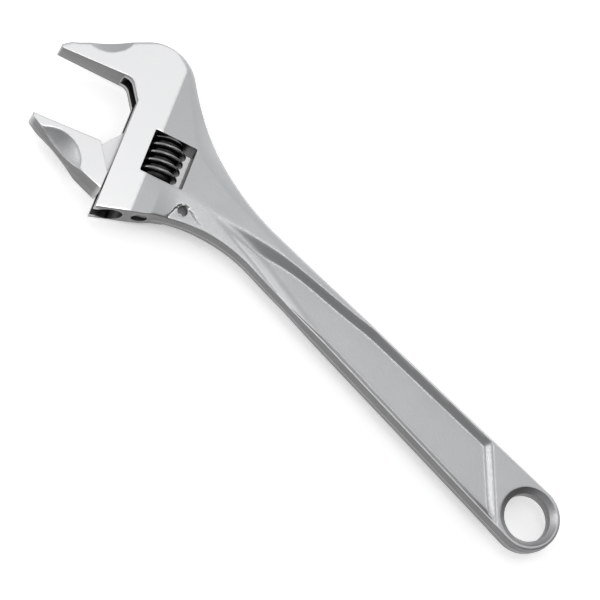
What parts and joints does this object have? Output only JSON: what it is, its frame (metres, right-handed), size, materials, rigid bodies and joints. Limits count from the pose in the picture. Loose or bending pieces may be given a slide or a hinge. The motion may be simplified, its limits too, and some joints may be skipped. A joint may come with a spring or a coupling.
{
  "type": "adjustable wrench",
  "caption": "Wide-opening adjustable wrench: I-section handle with a round hang hole, angled head, movable jaw driven by a thumb worm.",
  "frame": {"origin": "centre of the hang hole at mid thickness", "axes": "+X along the handle towards the head, +Y towards the movable jaw's side, +Z square to the flat sides"},
  "size_m": [0.2557, 0.0678, 0.0158],
  "materials": {
    "body_chrome": "satin forging with polished jaw and strap faces",
    "jaw_chrome": "polished faces, satin sides",
    "worm_black": "black oxide",
    "pin_steel": "turned steel",
    "spring_steel": "spring steel"
  },
  "bodies": {
    "wrench": {"wrench_body": "body_chrome", "worm_pin": "pin_steel", "worm_spring": "spring_steel"},
    "jaw": {"movable_jaw": "jaw_chrome"},
    "worm": {"worm": "worm_black"}
  },
  "joints": [
    {"name": "worm_spin", "type": "hinge", "parent": "wrench", "child": "worm", "pos_m": [0.18689, 0.00246, 0], "axis": [-0.3827, 0.9239, 0], "range_deg": [-1636.4, 3049.1]},
    {"name": "jaw_slide", "type": "slide", "parent": "wrench", "child": "jaw", "axis": [-0.3827, 0.9239, 0], "range_m": [-0.02795, 0.015]}
  ],
  "couplings": [
    {"joint": "worm_spin", "follows": "jaw_slide", "rad_per_m": -1904}
  ]
}
